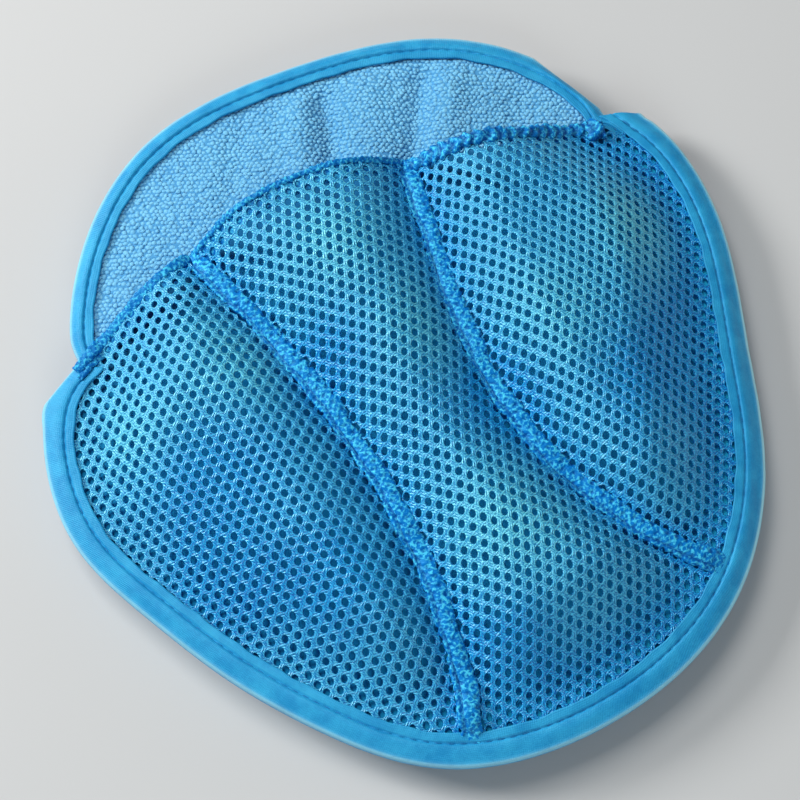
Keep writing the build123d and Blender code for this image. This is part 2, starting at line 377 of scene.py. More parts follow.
class Graph:
    """Short names for the nodes that the materials use."""

    def __init__(self, name):
        self.material = bpy.data.materials.new(name)
        self.material.use_nodes = True
        self.tree = self.material.node_tree
        self.shader = self.tree.nodes["Principled BSDF"]

    def node(self, kind, **settings):
        made = self.tree.nodes.new(kind)
        for key, value in settings.items():
            if key in made.inputs:
                self.put(made.inputs[key], value)
            else:
                setattr(made, key, value)
        return made

    def put(self, socket, value):
        if hasattr(value, "is_linked") or hasattr(value, "links"):
            self.tree.links.new(value, socket)
        else:
            socket.default_value = value

    def math(self, operation, a, b=0.0):
        made = self.node("ShaderNodeMath", operation=operation)
        self.put(made.inputs[0], a)
        self.put(made.inputs[1], b)
        return made.outputs[0]

    def weighted(self, *terms):
        """The sum of (value, weight) pairs."""
        total = None
        for value, weight in terms:
            part = value if weight == 1 else self.math("MULTIPLY", value, weight)
            total = part if total is None else self.math("ADD", total, part)
        return total

    def uv(self):
        split = self.node("ShaderNodeSeparateXYZ")
        self.put(split.inputs[0], self.node("ShaderNodeUVMap").outputs["UV"])
        return split.outputs[0], split.outputs[1]

    def attribute(self, name):
        return self.node("ShaderNodeAttribute", attribute_name=name).outputs["Fac"]

    def place(self):
        return self.node("ShaderNodeTexCoord").outputs["Object"]

    def noise(self, scale, detail=3.0, roughness=0.5):
        made = self.node(
            "ShaderNodeTexNoise", Vector=self.place(), Scale=scale, Detail=detail, Roughness=roughness,
        )
        return made.outputs["Fac"]

    def ramp(self, factor, *stops):
        made = self.node("ShaderNodeValToRGB")
        self.put(made.inputs[0], factor)
        elements = made.color_ramp.elements
        while len(elements) < len(stops):
            elements.new(0.5)
        for element, (place, colour) in zip(elements, stops):
            element.position = place
            element.color = (*colour, 1.0)
        return made.outputs["Color"]

    def mix(self, factor, a, b, blend="MIX"):
        made = self.node("ShaderNodeMix", data_type="RGBA", blend_type=blend, Factor=factor)
        self.put(made.inputs[6], a)  # the colour sockets come after the number and vector sockets
        self.put(made.inputs[7], b)
        return made.outputs[2]

    def bump(self, height, strength, distance_mm, normal=None):
        made = self.node("ShaderNodeBump", Strength=strength, Distance=distance_mm * MM, Height=height)
        if normal is not None:
            self.put(made.inputs["Normal"], normal)
        return made.outputs["Normal"]

    def finish(self, colour, normal, roughness, specular, shine=(1, 1, 1), sheen=0.0, sheen_tint=(1, 1, 1)):
        inputs = {
            "Base Color": colour, "Normal": normal, "Roughness": roughness,
            "Specular IOR Level": specular, "Specular Tint": (*shine, 1),
            "Sheen Weight": sheen, "Sheen Roughness": 0.4, "Sheen Tint": (*sheen_tint, 1),
        }
        for key, value in inputs.items():
            self.put(self.shader.inputs[key], value)
        return self.material


def net_material():
    """Glossy knitted yarn: a painted highlight makes pale strands run round every hole, with painted shade in
    the groove between them; the colour goes from painted shade in the dents to painted light on the swells.
    """
    g = Graph("knitted_net")
    around, out = g.uv()
    slant = g.weighted((around, 2 * math.pi * 8 / 6), (out, 7.0))
    knit = g.math("SINE", slant)
    grain = g.noise(3400.0, 2.0, 0.6)
    # painted highlight on the crest of the yarn, painted shade at the edge of the hole and in the groove
    strand = g.ramp(out, (0.05, (0, 0, 0)), (YARN_WAIST, (1, 1, 1)), (0.62, (0.55,) * 3), (0.95, (0.30,) * 3))
    raised = g.math("SUBTRACT", strand, 0.3)
    tone = g.weighted((grain, 1.15), (g.noise(70.0, 3.0), 0.18), (raised, 0.34), (knit, 0.11))
    places = (0.36, 0.62, 0.92)
    # painted shade and painted light: deep blue in the dents, at the seams and along the lower right rim,
    # pale mint on the swells
    shaded_net_colour = g.ramp(tone, *zip(places, ((0.001, 0.07, 0.34), (0.001, 0.15, 0.52), (0.016, 0.42, 0.82))))
    lit_net_colour = g.ramp(tone, *zip(places, ((0.003, 0.13, 0.38), (0.020, 0.32, 0.57), (0.17, 0.72, 0.85))))
    colour = g.mix(g.attribute("net_light_and_shade"), shaded_net_colour, lit_net_colour)
    normal = g.bump(g.weighted((knit, 0.6), (grain, 1)), 0.7, 0.10)
    return g.finish(colour, normal, 0.32, specular=1.0, shine=(0.45, 0.95, 1.0))


def band_material(name):
    """Folded netting of two plies: painted shade darkens the holes to a deep blue ground, and the dimples,
    creases and gathers with them.
    """
    g = Graph(name)
    # painted shade in the holes, dimples, creases and gathers
    dip_shade = g.attribute("dip_shade")
    along, over = g.uv()
    grain = g.noise(1500.0, 2.0, 0.6)
    strands = [
        g.math("SINE", g.math("MULTIPLY", g.weighted((along, 1), (over, lean)), 2 * math.pi / 1.15))
        for lean in (0.8, -0.8)
    ]
    strand = g.math("MAXIMUM", *strands)
    ground = g.mix(dip_shade, (0.001, 0.18, 0.58, 1), (0.001, 0.06, 0.30, 1))
    tone = g.weighted((grain, 1), (strand, 0.10))
    flecks = g.ramp(tone, (0.52, (0, 0, 0)), (0.68, (1, 1, 1)))
    # fewer pale flecks where the painted shade lies
    flecks = g.math("MULTIPLY", flecks, g.math("SUBTRACT", 1.0, g.math("MULTIPLY", dip_shade, 0.75)))
    colour = g.mix(flecks, ground, (0.07, 0.62, 0.90, 1))
    normal = g.bump(g.math("ADD", tone, g.noise(900.0, 2.0)), 0.8, 0.15)
    return g.finish(colour, normal, 0.42, specular=0.5, shine=(0.20, 0.90, 1.0))


def terry_material():
    """Short microfibre loops: pale blue crowns, with painted shade darkening the gaps and the foot of each
    loop; inside the pockets painted shade in deep blue, darkest just inside the mouth, and painted light in
    bright blue near the lower right rim.
    """
    g = Graph("terry_loops")
    # painted shade at the foot of each loop and in the gaps between loops
    crown = g.attribute("crown")
    shade = g.attribute("pocket")
    fibre = g.noise(3300.0, 3.0, 0.65)
    tone = g.weighted((crown, 0.50), (fibre, 0.75))
    colour = g.ramp(tone, (0.24, (0.045, 0.26, 0.56)), (0.56, (0.11, 0.42, 0.72)), (0.92, (0.24, 0.64, 0.90)))
    patches = g.ramp(g.noise(110.0, 2.0), (0.3, (0.90, 0.92, 0.95)), (0.7, (1.0, 1.0, 1.0)))
    colour = g.mix(1.0, colour, patches, "MULTIPLY")
    # painted shade inside the pockets, darkest just inside the mouth, and painted light near the lower right
    # rim
    painted_pocket_shade = g.ramp(shade, (0.5, (0.002, 0.13, 0.31)), (0.8, (0.005, 0.33, 0.66)), (1.0, (0.02, 0.62, 0.98)))
    colour = g.mix(g.ramp(shade, (0.0, (0, 0, 0)), (0.5, (1, 1, 1))), colour, painted_pocket_shade)
    normal = g.bump(fibre, 0.7, 0.14)
    return g.finish(colour, normal, 0.8, sheen=0.25, sheen_tint=(0.7, 0.95, 1.0), specular=0.2)


def plush_material():
    """Deep microfibre pile of the working face."""
    g = Graph("plush_pile")
    fibre = g.noise(2400.0, 4.0, 0.7)
    clump = g.noise(520.0, 3.0, 0.6)
    tone = g.weighted((fibre, 0.5), (clump, 0.5))
    colour = g.ramp(tone, (0.3, (0.02, 0.13, 0.45)), (0.52, (0.07, 0.30, 0.70)), (0.72, (0.16, 0.46, 0.82)))
    normal = g.bump(tone, 0.9, 0.5)
    return g.finish(colour, normal, 0.9, sheen=0.8, sheen_tint=(0.7, 0.88, 1.0), specular=0.15)


def foam_material():
    """Open-cell foam, hidden inside the pad."""
    g = Graph("foam")
    cells = g.node("ShaderNodeTexVoronoi", feature="F1", Vector=g.place(), Scale=1600.0).outputs["Distance"]
    colour = g.ramp(cells, (0.1, (0.80, 0.84, 0.86)), (0.7, (0.50, 0.55, 0.58)))
    return g.finish(colour, g.bump(cells, 0.8, 0.3), 0.95, specular=0.2)


def tape_material():
    """Satin tape: fine ribs across it, a woven grain, a soft shine and a painted highlight, pale cyan, along
    the outer fold, strongest on the lower right.
    """
    g = Graph("satin_tape")
    along, over = g.uv()
    # painted highlight along the outer fold
    fold_highlight = g.attribute("fold")
    ribs = g.math("SINE", g.math("MULTIPLY", along, 2 * math.pi / 0.36))
    threads = g.math("SINE", g.math("MULTIPLY", over, 2 * math.pi / 0.42))
    weave = g.weighted((ribs, 0.6), (threads, 0.4))
    tone = g.weighted((g.noise(260.0, 3.0), 0.7), (g.noise(2600.0, 2.0), 0.3), (weave, 0.07))
    colour = g.ramp(tone, (0.35, (0.008, 0.26, 0.56)), (0.65, (0.028, 0.39, 0.70)))
    colour = g.mix(fold_highlight, colour, (0.50, 0.92, 0.97, 1))
    normal = g.bump(weave, 0.6, 0.04, g.bump(g.noise(420.0, 3.0), 0.7, 0.16))
    return g.finish(colour, normal, 0.46, specular=0.35, shine=(0.7, 0.97, 1.0))


def thread_material():
    """Twisted polyester sewing thread."""
    g = Graph("sewing_thread")
    twist = g.noise(5000.0, 2.0)
    colour = g.ramp(twist, (0.3, (0.004, 0.13, 0.36)), (0.7, (0.02, 0.28, 0.58)))
    return g.finish(colour, g.bump(twist, 0.6, 0.06), 0.5, specular=0.3)


# ---- netting

def warp(x, y):
    """Slow drift of the netting, as knitted cloth is never laid quite square."""
    dx = 0.55 * np.sin(x / 17 + 0.6) * np.cos(y / 23) + 0.25 * np.sin(y / 9 + x / 31)
    dy = 0.55 * np.cos(x / 21 - 0.4) * np.sin(y / 19 + 1.1) + 0.25 * np.sin(x / 11)
    return x + dx, y + dy


def net(side):
    """Netting with real oval holes over one pocket."""
    a, b = (joined(*polar(*step)) for step in LATTICE[side])
    around = [(1, 0), (0, 1), (-1, 1), (-1, 0), (0, -1), (1, -1)]
    rim_keys = []
    for k in range(6):
        (p, q), (r, s) = around[k], around[(k + 1) % 6]
        rim_keys.append((3 * p, 3 * q))
        rim_keys.append((2 * (p + r), 2 * (q + s)))
    rim_keys = np.array(rim_keys)
    index = np.arange(-60, 61)
    i, j = (m.ravel() for m in np.meshgrid(index, index, indexing="ij"))
    centre = i[:, None] * a + j[:, None] * b
    wx, wy = warp(centre[:, 0], centre[:, 1])
    keep = inside_panel(side)(wx, wy)
    i, j, centre = i[keep], j[keep], centre[keep]
    count = len(i)

    keys = joined(6 * i[:, None] + rim_keys[:, 0], 6 * j[:, None] + rim_keys[:, 1]).reshape(-1, 2)
    unique, shared = np.unique(keys, axis=0, return_inverse=True)
    shared = shared.reshape(count, 12)
    rim = unique[:, :1] / 6 * a + unique[:, 1:] / 6 * b

    half_width, half_length, lean = HOLE[side]
    size = 1 + 0.07 * RNG.standard_normal((count, 2)).clip(-2, 2)
    lean = np.radians(lean + 4 * RNG.standard_normal(count))[:, None]
    shift = 0.05 * RNG.standard_normal((count, 1, 2))
    to_rim = rim[shared] - centre[:, None, :]
    angle = np.arctan2(to_rim[..., 1], to_rim[..., 0]) - lean
    pointed = 1 + 0.10 * np.abs(np.cos(angle)) ** 6
    long_axis, short_axis = half_length * size[:, :1], half_width * size[:, 1:]
    reach = pointed / np.sqrt((np.cos(angle) / long_axis) ** 2 + (np.sin(angle) / short_axis) ** 2)
    towards = joined(np.cos(angle + lean), np.sin(angle + lean))
    hole = centre[:, None, :] + shift + reach[..., None] * towards
    waist = hole + YARN_WAIST * (rim[shared] - hole)

    height = pocket_surface(side)
    layers = []
    waist, hole = waist.reshape(-1, 2), hole.reshape(-1, 2)
    thick, thin = NET_HALF, NET_HALF * 0.45
    for flat, offset in ((rim, thin), (rim, -thin), (waist, thick), (waist, -thick), (hole, 0.0)):
        x, y = warp(flat[:, 0], flat[:, 1])
        layers.append(tilted(height, x, y, offset))
    points = np.concatenate(layers)
    starts = np.cumsum([0] + [len(layer) for layer in layers])
    top_rim, low_rim = shared + starts[0], shared + starts[1]
    own = np.arange(count * 12).reshape(count, 12)
    top_waist, low_waist, edge = own + starts[2], own + starts[3], own + starts[4]

    faces, uvs = [], []
    k = np.arange(12)
    for inner, outer, v_in, v_out in (
        (edge, top_waist, 0.0, YARN_WAIST), (top_waist, top_rim, YARN_WAIST, 1.0),
        (low_waist, edge, YARN_WAIST, 0.0), (low_rim, low_waist, 1.0, YARN_WAIST),
    ):
        quads = joined(inner, outer, np.roll(outer, -1, 1), np.roll(inner, -1, 1))
        faces.append(quads.reshape(-1, 4))
        u = joined(k, k, k + 1, k + 1) * 0.5
        v = np.broadcast_to(np.array((v_in, v_out, v_out, v_in)), u.shape)
        uvs.append(np.broadcast_to(joined(u, v), (count, 12, 4, 2)).reshape(-1, 2))
    edges = joined(shared, np.roll(shared, -1, 1)).reshape(-1, 2)
    ordered = np.sort(edges, axis=1)
    _, first, times = np.unique(ordered, axis=0, return_index=True, return_counts=True)
    border = edges[first[times == 1]]
    near, far = border.T
    faces.append(joined(far, far + starts[1], near + starts[1], near))
    uvs.append(np.tile(((0, 1), (0, 1), (0.5, 1), (0.5, 1)), (len(border), 1)))
    # each point of the netting carries its painted light and shade
    piece = build(
        f"netting_{side}", points, np.concatenate(faces), NET_MATERIAL,
        uvs=np.concatenate(uvs), values={"net_light_and_shade": net_light_and_shade(points[:, 0], points[:, 1])},
    )
    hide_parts(f"mesh_panel_{side}")
    return piece


def inside_panel(side):
    """Which places belong to one panel, with a tuck under the tape, the welts and the hem."""

    def inside(x, y):
        keep = rim_distance(x, y) > TAPE_WIDTH["lower"] - 2.4
        keep &= y < mouth_line(x) - (1.6 if side == "right" else 0.9)
        for inward in seam_distances(side, x, y):
            keep &= inward > WELT_HALF - 0.6
        return keep

    return inside


# ---- swept bands

def band_uvs(points, quads, columns, along):
    """Lengths along and over a band of closed sections, as the UVs of its quads."""
    step = np.linalg.norm(np.diff(points, axis=1, append=points[:, :1]), axis=2)
    over = np.concatenate((np.zeros((len(points), 1)), np.cumsum(step, axis=1)), axis=1)
    i, j = quads[:, 0] // columns, quads[:, 0] % columns
    corners = ((i, j), (i + 1, j), (i + 1, j + 1), (i, j + 1))
    return np.stack([joined(along[row], over[row, column]) for row, column in corners], axis=1).reshape(-1, 2)


def sweep(name, path, section, dips):
    """A closed band of folded netting. path is (centres, across, up); section gives (across, up) offsets."""
    centre, side, up = path
    rows, columns = len(centre), section.shape[1]
    points = centre[:, None, :] + section[..., :1] * side[:, None, :] + section[..., 1:2] * up[:, None, :]
    quads = grid_quads(rows, columns, close_columns=True)
    uvs = band_uvs(section, quads, columns, run_length(centre))
    points = points.reshape(-1, 3)
    first_cap = len(points)
    points = np.concatenate((points, points[:columns].mean(0)[None], points[-columns:].mean(0)[None]))
    j = np.arange(columns)
    nxt = (j + 1) % columns
    last = (rows - 1) * columns
    cap_a = joined(np.full(columns, first_cap), j, nxt)
    cap_b = joined(np.full(columns, first_cap + 1), last + nxt, last + j)
    uvs = np.concatenate((uvs, np.zeros((columns * 6, 2))))
    # the painted shade of the holes, dimples, creases and gathers
    values = {"dip_shade": np.concatenate((dips.ravel(), np.zeros(2)))}
    return build(name, points, [quads, cap_a, cap_b], WELT_MATERIAL, uvs=uvs, values=values)


def line_frame(x, y, z):
    """Centres, across and up vectors along a line that lies on the pad."""
    centre = joined(x, y, z)
    ahead = np.gradient(centre, axis=0)
    ahead /= np.linalg.norm(ahead, axis=1)[:, None]
    across = np.cross(ahead, (0, 0, 1))
    across /= np.linalg.norm(across, axis=1)[:, None]
    return centre, across, np.cross(across, ahead)


def hex_dips(s, t):
    """1 in the middle of each hole of a hexagonal net, 0 on the yarn."""
    k = 2 * math.pi / (MESH_HOLE_PITCH * math.sqrt(3) / 2)
    total = sum(np.cos(k * (s * math.cos(a) + t * math.sin(a))) for a in np.radians((15, 75, 135)))
    return ease((total / 3 - 0.15) / 0.6)


def folded_net(name, line, half_width, low, high, relief):
    """A folded band of netting on a line: a flattened round section, with the relief of the folds."""
    columns = 32
    phi = np.linspace(0, 2 * math.pi, columns, endpoint=False)
    out, rise = np.cos(phi), np.sin(phi)
    power = 0.62
    across = half_width[:, None] * np.sign(out) * np.abs(out) ** power
    middle, reach = (high + low) / 2, (high - low) / 2
    up = middle[:, None] + reach[:, None] * np.sign(rise) * np.abs(rise) ** power
    s = np.broadcast_to(run_length(line[0])[:, None], across.shape)
    inward, dips = relief(s, across, np.broadcast_to(rise[None, :] > 0, across.shape))
    slope_across, slope_up = across / half_width[:, None] ** 2, (up - middle[:, None]) / reach[:, None] ** 2
    steep = np.hypot(slope_across, slope_up) + 1e-9
    section = joined(across - inward * slope_across / steep, up - inward * slope_up / steep)
    return sweep(name, line, section, dips)


def crumple(s, t):
    """Uneven gathers, about a millimetre across."""
    wave = np.sin(4.3 * s + 2.1 * np.sin(1.7 * t + 0.6 * s)) * np.sin(5.1 * t + 1.9 * np.sin(1.3 * s))
    return wave + 0.5 * np.sin(7.9 * s - 3.1 * t) * np.sin(2.3 * s + 6.7 * t + 1.0)


def pressed_relief(s, t, top):
    """Two plies pressed together: shallow dimples where holes meet, with a sewn crease on the left."""
    dips = hex_dips(s + 0.3 * np.sin(t * 1.3), t + 0.25 * np.sin(s * 0.9))
    crease = bell(t - WELT_SEAM, 0.28) * top
    # the second value is painted shade, in the dimples and along the crease
    return 0.26 * dips + 0.07 * crumple(s, t) + 0.60 * crease, np.maximum(0.8 * dips, crease)


def roped_relief(s, t, top):
    """A bunched edge: slanted gathers that meet in a herringbone."""
    ridge = np.sin(2 * math.pi * (s + 0.75 * np.abs(t - 0.2 * np.sin(s * 0.7))) / 2.3 + 0.5 * np.sin(s * 0.9))
    dips = ease(0.5 - 0.6 * ridge)
    # the second value is painted shade, in the valleys of the gathers
    return 0.42 * dips + 0.20 * crumple(s, t), dips


def welt(side):
    """The raised fold of netting between two pockets."""
    divider, tip, mouth = WELTS[side]
    y = np.arange(mouth - 0.4, tip - 2.0, -BAND_STEP)
    x = divider(y) + 0.18 * np.sin(y / 3.1) + 0.12 * np.sin(y / 1.3)
    line = line_frame(x, y, back_top(x, y))
    taper = ease((rim_distance(x, y) - 3.5) / 6) * (0.35 + 0.65 * ease((mouth - 0.4 - y) / 5))
    waver = 0.16 * np.sin(y / 2.3) + 0.12 * np.sin(y / 5.7)
    half_width = WELT_HALF * (0.7 + 0.3 * ease((mouth - y) / 4)) + waver
    high = 1.1 + (1.8 + 0.22 * np.sin(y / 3.7) + 0.15 * np.sin(y / 1.9 + 1)) * taper
    piece = folded_net(f"welt_{side}", line, half_width, np.full_like(y, 0.1), high, pressed_relief)
    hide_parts(f"divider_welt_{side}")
    return piece


def mouth_ends():
    """Where each hem starts and ends: at the rim or at a welt."""
    x = np.linspace(-45, 40, 800)
    left, right = (x[np.argmin(np.abs(divider(mouth_line(x)) - x))] for divider, _, _ in WELTS.values())
    across = np.linspace(-66, 66, 1200)
    reached = across[rim_distance(across, mouth_line(across)) > 2.6]
    return {
        "left": (reached.min(), left - 0.4),
        "middle": (left + 0.4, right - 0.4),
        "right": (right + 0.2, reached.max()),
    }


def mouth_path(side, inset, bend=0.0):
    """A line along a pocket's mouth, lifted over the tape at the rim. It may bend in at its end."""
    start, end = mouth_ends()[side]
    x = np.arange(start, end, BAND_STEP)
    y = mouth_line(x) - inset - bend * ease((x - end + 6) / 6)
    over_tape = back_top(x, y) + 1.75 * ease((7.5 - rim_distance(x, y)) / 3)
    z = np.maximum(pocket_surface(side)(x, y), over_tape) - 1.2 * ease((1.6 - rim_distance(x, y)) / 2)
    return x, y, z


def flat_hem(side):
    """A turned-under edge: a second ply that shows through the holes, and the rolled fold at the mouth."""
    x, y, z = mouth_path(side, HEM_WIDTH / 2)
    full = np.ones_like(x)
    narrow = 0.28 + 0.72 * ease((rim_distance(x, y) - 3) / 8)
    tail = ease((8.5 - rim_distance(x, y)) / 3)

    def two_plies(s, t, top):
        dips = hex_dips(s, t) * tail[:, None]
        # the second value is painted shade: the under ply darker all over, deepest in its holes
        return 0.04 * crumple(s, t) + 0.2 * dips, 0.45 + 0.4 * dips

    ply = folded_net(
        f"mouth_hem_{side}", line_frame(x, y, z), HEM_WIDTH / 2 * narrow, -0.62 * full, -0.20 + 0.55 * tail,
        two_plies,
    )
    x, y, z = mouth_path(side, FOLD_INSET)
    full = np.ones_like(x)
    roll = (1.05 if side == "left" else 0.62) * (1 + 0.10 * np.sin(x / 1.7) + 0.08 * np.sin(x / 0.8 + 1))
    # its colour value is painted shade: darker all over, deeper in the creases
    fold = folded_net(
        f"mouth_fold_{side}", line_frame(x, y, z), roll, -0.60 * full, 0.30 + 0.30 * roll,
        lambda s, t, top: (0.14 * crumple(s, t), 0.35 + 0.25 * crumple(s, t)),
    )
    return ply, fold


def roped_hem(side):
    """An edge that has bunched up into a rope of gathers."""
    x, y, z = mouth_path(side, ROPE_INSET, bend=1.2)
    full = np.ones_like(x)
    knot = bell(x - x[-1] + 2.2, 2.0)
    half_width = 1.55 + 0.22 * np.sin(x / 1.7) + 0.12 * np.sin(x / 3.9 + 1) + 0.5 * knot
    high = 1.25 + 0.2 * np.sin(x / 2.1) + 0.12 * np.sin(x / 0.9)
    return folded_net(f"mouth_hem_{side}", line_frame(x, y, z), half_width, -0.9 * full, high, roped_relief)


# ---- tape

def tape_lines(which):
    """Angles and radii of the finished edge of one length of tape, with its cut ends drawn out straight."""
    if which == "upper":
        return upper_angles, upper_radii
    uncut = lower_angles < TAPE_CORNER
    slope = np.polyfit(lower_angles[uncut][-6:], lower_radii[uncut][-6:], 1)
    return lower_angles, np.where(uncut, lower_radii, np.polyval(slope, lower_angles))


def tape(which):
    """One length of tape folded over the rim: a flat band, a sewn crease and an inner lip."""
    lower = which == "lower"
    width, sew = TAPE_WIDTH[which], STITCH_INSET[which]
    angles, radii = tape_lines(which)
    first, last = (angles[0] - 1.6, TAPE_CORNER) if lower else (angles[0] - 6.0, angles[-1] + 4.0)
    slant = TAPE_SLANT if lower else 0.0
    count = int((last - first) * MEAN_RADIUS * math.pi / 180 / TAPE_STEP)
    share = np.linspace(0, 1, count)

    # the section, from the inner lip over the top, round the fold and back underneath:
    # distance in from the finished edge, and side (1 top, -1 underside)
    top = [
        width, width - 0.25, sew + 1.1, sew + 0.5, sew + 0.28, sew + 0.12, sew, sew - 0.12, sew - 0.28,
        sew - 0.55, sew - 1.2, sew * 0.5, 1.3, 0.8, 0.45, 0.2, 0.06,
    ]
    under = [0.06, 0.3, 0.8, 1.6, sew - 0.5, sew, sew + 0.5, width - 0.3, width]
    inset = np.array(top + [0.0, 0.0, 0.0] + under)
    side = np.array([1.0] * len(top) + [0.5, 0.0, -0.5] + [-1.0] * len(under))
    theta = first + share[:, None] * (last + slant * inset[None, :] / width - first)
    radius = np.interp(theta, angles, radii, left=radii[0], right=radii[-1])
    # near a notch the tape is drawn in, and the upper one goes on under the lower one
    notches = ((angles[0] - 2.5, 2.2, 3.0, 1), (angles[-1] + 2.5, 2.2, 3.0, -1))
    if lower:
        notches = ((angles[0] - 1.6, 1.8, 1.6, 1),)
    for end, depth, reach, way in notches:
        radius = radius - depth * bell(np.maximum(way * (theta - end), 0), reach)
    outer = np.clip(1 - inset / sew, 0, 1)
    if lower:  # the corner at the end of the straight edge
        radius = radius + CORNER_OUT * bell(theta - STRAIGHT_EDGE[which][1] - 0.6, 2.8) * outer
    ends = np.radians(STRAIGHT_EDGE[which])
    rim = len(top)  # the column at the finished edge
    reached = np.interp(ends, np.radians(theta[:, rim]), radius[:, rim])
    (x0, x1), (y0, y1) = reached * np.cos(ends), reached * np.sin(ends)
    turned = np.radians(theta)
    chord = (x0 * y1 - x1 * y0) / ((y1 - y0) * np.cos(turned) - (x1 - x0) * np.sin(turned))
    beside = (turned > ends[0]) & (turned < ends[1])
    radius = radius - np.where(beside, np.clip(radius - chord, 0, STRAIGHT_LIMIT), 0) * outer
    along = np.concatenate(([0], np.cumsum(np.radians(np.diff(theta[:, 0])) * MEAN_RADIUS)))
    pucker = np.sin(2 * math.pi * along / STITCH_PITCH)[:, None]
    drift = (0.6 * np.sin(along / 7.3) + 0.5 * np.sin(along / 2.9 + 1) + 0.4 * np.sin(along / 1.3))[:, None]
    ripple = (0.10 * np.sin(along / 1.6) + 0.06 * np.sin(along / 0.9 + 1))[:, None] * (inset > sew + 0.3)

    # the end of the upper tape that is tucked under the lower one is narrower
    tucked = inset * (1 if lower else 1 - 0.5 * ease((angles[0] - 0.5 - theta) / 3))
    x, y = polar(radius - tucked - ripple, theta)
    rim_low = face_bottom(x, y) - TAPE_BELOW
    rim_high = back_top(x, y) + TAPE_SEAT[which]
    if lower:  # pressed flat at the cut end
        rim_high = rim_high - 0.38 * ease((theta - TAPE_CORNER + 5) / 6)
    middle = (rim_high + rim_low) / 2
    fold = np.sqrt(np.clip(1 - (1 - np.minimum(inset / FOLD_RADIUS, 1)) ** 2, 0, 1))
    near_edge = 1 - ease(inset / sew)
    droop = bell(theta - 334, 32)
    flatter = bell(theta - 262, 34)
    drop = (0.75 + 1.0 * droop - 0.45 * flatter) * near_edge * (1 + 0.15 * drift)
    crown = (0.22 if lower else 0.36) * bell(inset - sew * 0.62, 1.1) * (1 + 0.6 * drift)
    bead = 0.16 * bell(inset - 0.42, 0.26)
    crease = bell(inset - sew, 0.20)
    lip = ease((inset - sew - 0.2) / 0.5)
    sewn = crease * (0.40 + 0.10 * pucker) - lip * 0.05 * np.sin(along / 1.9)[:, None]
    z_top = rim_high - drop + crown + bead - sewn
    z_top = middle + (z_top - middle) * (0.45 + 0.55 * fold)
    z_low = rim_low + 0.6 * near_edge + crease * 0.3
    z_low = middle + (z_low - middle) * (0.45 + 0.55 * fold)
    edge_top = z_top[:, [len(top) - 1]]
    edge_low = z_low[:, [len(top) + 3]]
    between = (edge_top + edge_low) / 2 + side * (edge_top - edge_low) / 2
    z = np.where(side == 1.0, z_top, np.where(side == -1.0, z_low, between))
    shell = joined(x, y, z)

    # the inside of the fold, one tape thickness in
    previous, following = np.roll(shell, 1, axis=1), np.roll(shell, -1, axis=1)
    previous[:, 0], following[:, -1] = shell[:, 0], shell[:, -1]
    normal = np.cross(np.gradient(shell, axis=0), following - previous)
    normal /= np.linalg.norm(normal, axis=2)[..., None] + 1e-12
    if normal[:, 8, 2].mean() > 0:
        normal = -normal
    lining = shell + normal * TAPE_THICKNESS
    columns = shell.shape[1] * 2
    points = np.concatenate((shell, lining[:, ::-1]), axis=1)
    quads = grid_quads(count, columns, close_columns=True)
    uvs = band_uvs(points, quads, columns, along)

    # each cut end is a strip between the shell and its lining
    half = shell.shape[1]
    j = np.arange(half - 1)
    caps = []
    for row in (0, count - 1):
        base = row * columns
        strip = joined(base + j, base + j + 1, base + columns - 2 - j, base + columns - 1 - j)
        caps.append(strip if row == 0 else strip[:, ::-1])
    uvs = np.concatenate((uvs, np.zeros(((half - 1) * 8, 2))))
    # painted highlight along the outer fold, strongest on the lower right where the rim light falls
    pale = bell(inset - 0.30, 0.34) * np.where(side > 0.6, 1.0, 0.0)
    pale = pale * (0.5 + 0.5 * bell(theta - 335, 48))
    pale = np.concatenate((pale, 0 * pale), axis=1).ravel()
    piece = build(
        f"tape_{which}", points.reshape(-1, 3), [quads, *caps], TAPE_MATERIAL,
        uvs=uvs, values={"fold": pale},
    )
    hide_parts(f"edge_binding_{which}")
    return piece


# ---- stitches

def thread_stitch(start, end, up):
    """Points of one stitch: a short thread that dives at both ends."""
    share = np.linspace(0, 1, STITCH_RINGS)
    dive = (2 * share - 1) ** 4
    middle = start + (end - start) * share[:, None] - up * 0.22 * dive[:, None]
    ahead = (end - start) / np.linalg.norm(end - start)
    side = np.cross(ahead, up)
    phi = np.linspace(0, 2 * math.pi, STITCH_CORNERS, endpoint=False)
    swell = THREAD_RADIUS * (1 - 0.35 * (2 * share - 1) ** 6)
    circle = np.cos(phi)[None, :, None] * side + np.sin(phi)[None, :, None] * up
    return (middle[:, None, :] + circle * swell[:, None, None]).reshape(-1, 3)


def stitch_row(name, starts, ends, ups, node):
    """Many separate stitches as one piece."""
    tube = grid_quads(STITCH_RINGS, STITCH_CORNERS, close_columns=True)
    near, far = np.arange(1, STITCH_CORNERS - 1), np.arange(2, STITCH_CORNERS)
    hub, last_ring = 0 * near, (STITCH_RINGS - 1) * STITCH_CORNERS
    cap = np.concatenate((joined(hub, far, near), last_ring + joined(hub, near, far)))
    points = np.concatenate([thread_stitch(*stitch) for stitch in zip(starts, ends, ups)])
    offsets = np.arange(len(starts))[:, None, None] * STITCH_RINGS * STITCH_CORNERS
    faces = [(part + offsets).reshape(-1, part.shape[1]) for part in (tube, cap)]
    piece = build(name, points, faces, THREAD_MATERIAL)
    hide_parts(node)
    return piece


def stitches_along(points, up):
    """Start points, end points and up vectors of the stitches along a line of points."""
    length = run_length(points)
    marks = np.arange(0.5, length[-1] - STITCH_PITCH, STITCH_PITCH)
    starts, ends = (
        joined(*(np.interp(at, length, axis) for axis in points.T))
        for at in (marks, marks + STITCH_PITCH * STITCH_FILL)
    )
    return starts, ends, np.broadcast_to(np.asarray(up, dtype=float), starts.shape)


